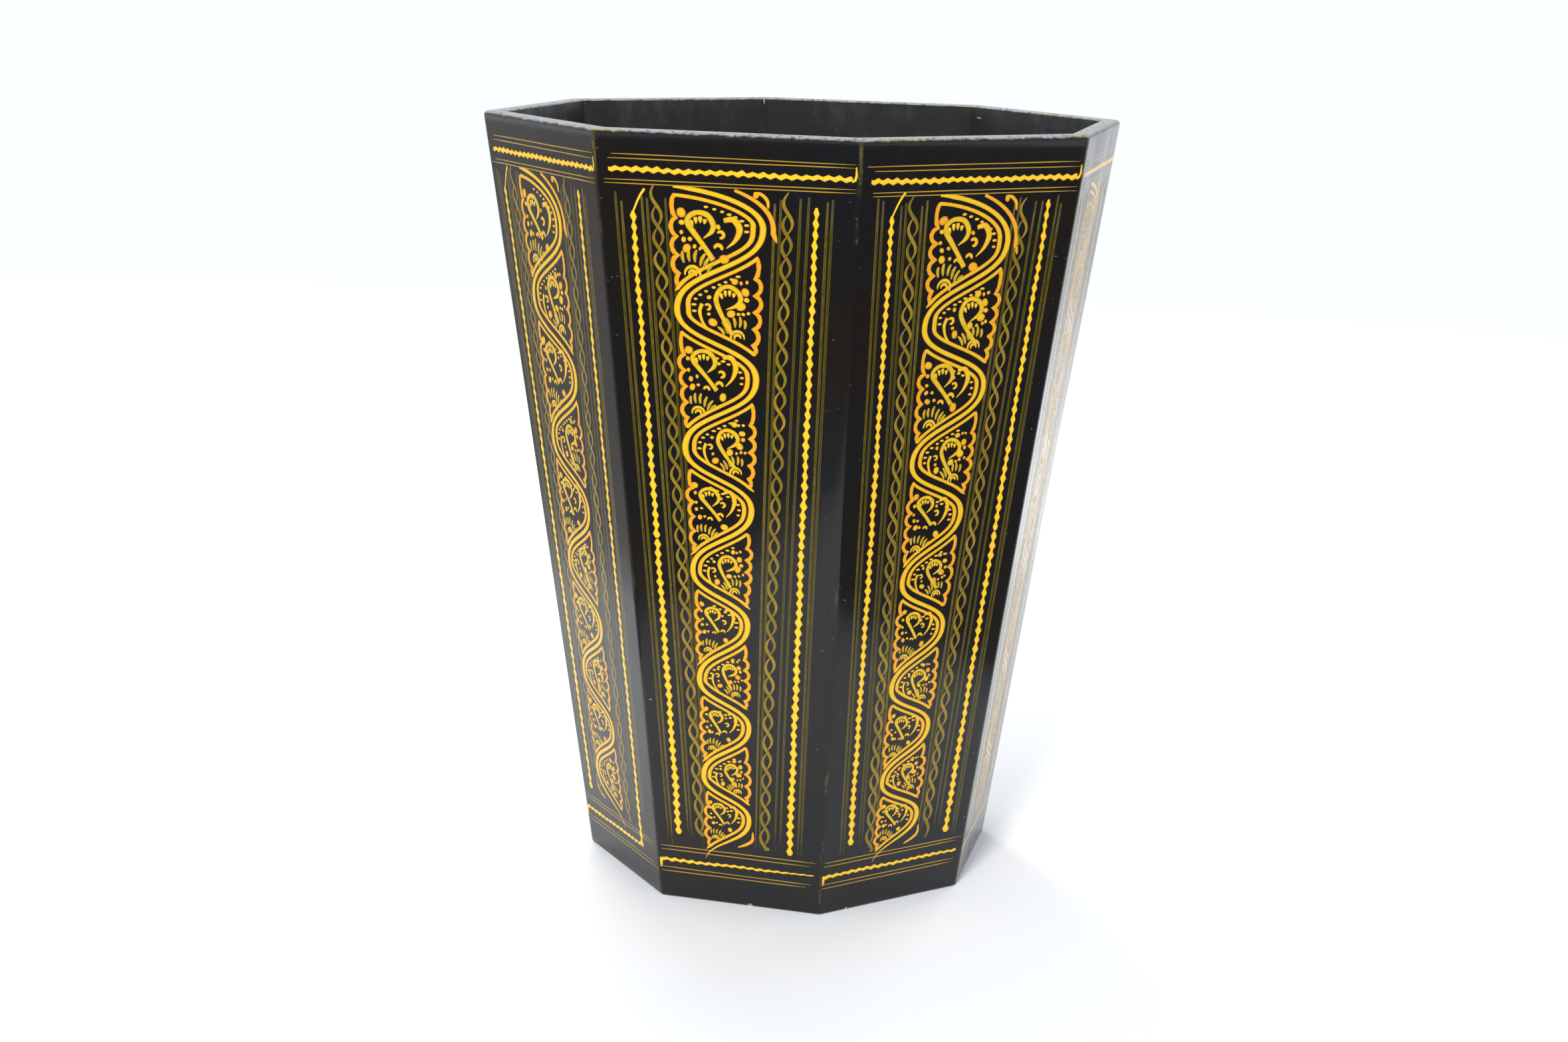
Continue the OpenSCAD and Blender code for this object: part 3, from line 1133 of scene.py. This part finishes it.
board_finishes = (
    black_lacquer(), inside_lacquer(), stained_wood("stained_ends", (1, 1, 14)), chipped_ground(),
)
ink_finishes = {
    "scroll": ink_finish(
        "scroll_ink", colour(0.42, 0.27, 0.006), colour(0.80, 0.50, 0.010), colour(0.78, 0.35, 0.006),
        colour(0.26, 0.14, 0.002), colour(0.50, 0.15, 0.002),
    ),
    "chain": ink_finish(
        "chain_ink", colour(0.80, 0.50, 0.012), colour(0.90, 0.56, 0.016), colour(0.85, 0.40, 0.010),
        colour(0.52, 0.22, 0.004), colour(0.52, 0.18, 0.004),
    ),
    "line": ink_finish(
        "line_ink", colour(0.048, 0.039, 0.001), colour(0.20, 0.135, 0.005), colour(0.42, 0.245, 0.012),
        colour(0.12, 0.093, 0.004), colour(0.40, 0.25, 0.014), ruled=True,
    ),
}

for index in range(len(STAVES)):
    board(index, board_finishes)
    decorate(index, ink_finishes)

for node, finish in (("base_board", base_finish()), ("base_pins", drawn_wire())):
    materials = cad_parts[node].data.materials
    materials.clear()
    materials.append(finish)


# ---------------- stage, lights and camera

FLOOR_WHITE = colour(0.89, 0.92, 0.96)
# Corners of the upright sheets that only reflections see, in metres to the camera's right and away from it
DARK_FLAG = ((-0.2, -0.17), (-0.158, -0.267), (-0.14, -0.45), (0.2, -0.45), (0.217, -0.2), (0.235, -0.05))
GREY_FLAG = ((-0.5, 0.52), (-0.314, 0.094), (-0.2, -0.17))
FLAG_HEIGHT = 0.26
FLAG_DARK, FLAG_GREY = colour(0.13, 0.123, 0.114), colour(0.38, 0.365, 0.34)


def matt_finish(name, tone):
    made, n = new_material(name)
    n.shader.inputs["Base Color"].default_value = tone
    n.shader.inputs["Roughness"].default_value = 0.9
    return made, n


def make_floor():
    bpy.ops.mesh.primitive_plane_add(size=400, location=(0, 0, -0.0002))
    floor = bpy.context.object
    floor.name = "studio_floor"
    paper, n = matt_finish("studio_floor", FLOOR_WHITE)
    n.shader.inputs["Specular IOR Level"].default_value = 0.1
    floor.data.materials.append(paper)


def flag(name, corners, tone):
    """Upright sheet through the corners, which the varnish mirrors. It neither shows nor shades."""
    made, _ = matt_finish(name, tone)
    turn = Matrix.Rotation(math.radians(CAMERA_TURN), 4, "Z")
    points = [turn @ Vector((x, y, z)) for z in (0.0, FLAG_HEIGHT) for x, y in corners]
    count = len(corners)
    mesh = bpy.data.meshes.new(name)
    mesh.from_pydata(points, [], [(k, k + 1, count + k + 1, count + k) for k in range(count - 1)])
    mesh.materials.append(made)
    sheet = placed(name, mesh)
    sheet.visible_camera = False
    sheet.visible_diffuse = False
    sheet.visible_shadow = False


def make_flags():
    """A dark sheet in front and to the right, and a grey one to the left."""
    flag("dark_flag", DARK_FLAG, FLAG_DARK)
    flag("grey_flag", GREY_FLAG, FLAG_GREY)


def side_fill(name, x, watts):
    """A soft light behind the bin that brightens the floor on that side."""
    data = bpy.data.lights.new(name, "AREA")
    data.energy = watts
    data.size = 0.5
    light = placed(name, data)
    light.location = (x, 0.8, 0.7)
    light.rotation_euler = Vector((-x * 0.3, -0.6, -0.7)).to_track_quat("-Z", "Y").to_euler()
    light.visible_camera = False
    light.visible_glossy = False


def make_lights():
    world = bpy.data.worlds.new("studio")
    bpy.context.scene.world = world
    world.use_nodes = True
    sky = world.node_tree.nodes["Background"]
    sky.inputs["Color"].default_value = colour(0.95, 0.97, 1.0)
    sky.inputs["Strength"].default_value = 0.72
    data = bpy.data.lights.new("key", "SUN")
    data.energy = 2.1
    data.angle = math.radians(11)
    data.color = (1.0, 0.98, 0.95)
    key = placed("key", data)
    key.rotation_euler = Vector((0.05, 1.0, -0.78)).to_track_quat("-Z", "Y").to_euler()
    key.visible_glossy = False
    side_fill("left_fill", -0.6, 8.0)
    side_fill("right_fill", 0.4, 2.5)


# The camera's place: turned from the front board and raised, in degrees, and its distance in bin heights
CAMERA_TURN, CAMERA_RISE, CAMERA_ROLL = 14.43, 13.72, 1.387
CAMERA_DISTANCE, CAMERA_RIGHT, CAMERA_UP = 3.0656, -0.0186, -0.0455
CAMERA_LENS = 51.72


def make_camera():
    turn, rise, roll = (math.radians(a) for a in (CAMERA_TURN, CAMERA_RISE, CAMERA_ROLL))
    back = Vector((math.sin(turn) * math.cos(rise), -math.cos(turn) * math.cos(rise), math.sin(rise)))
    right = Vector((math.cos(turn), math.sin(turn), 0))
    up = back.cross(right)
    place = Vector((0, 0, HEIGHT / 2)) + HEIGHT * (
        back * CAMERA_DISTANCE + right * CAMERA_RIGHT + Vector((0, 0, CAMERA_UP))
    )
    rolled_right = right * math.cos(roll) + up * math.sin(roll)
    rolled_up = up * math.cos(roll) - right * math.sin(roll)
    data = bpy.data.cameras.new("camera")
    data.lens = CAMERA_LENS
    data.sensor_width = 36
    camera = placed("camera", data)
    axes = Matrix((rolled_right, rolled_up, back)).transposed().to_4x4()
    camera.matrix_world = Matrix.Translation(place) @ axes
    bpy.context.scene.camera = camera


make_floor()
make_flags()
make_lights()
make_camera()
bpy.context.scene.view_settings.view_transform = "Standard"
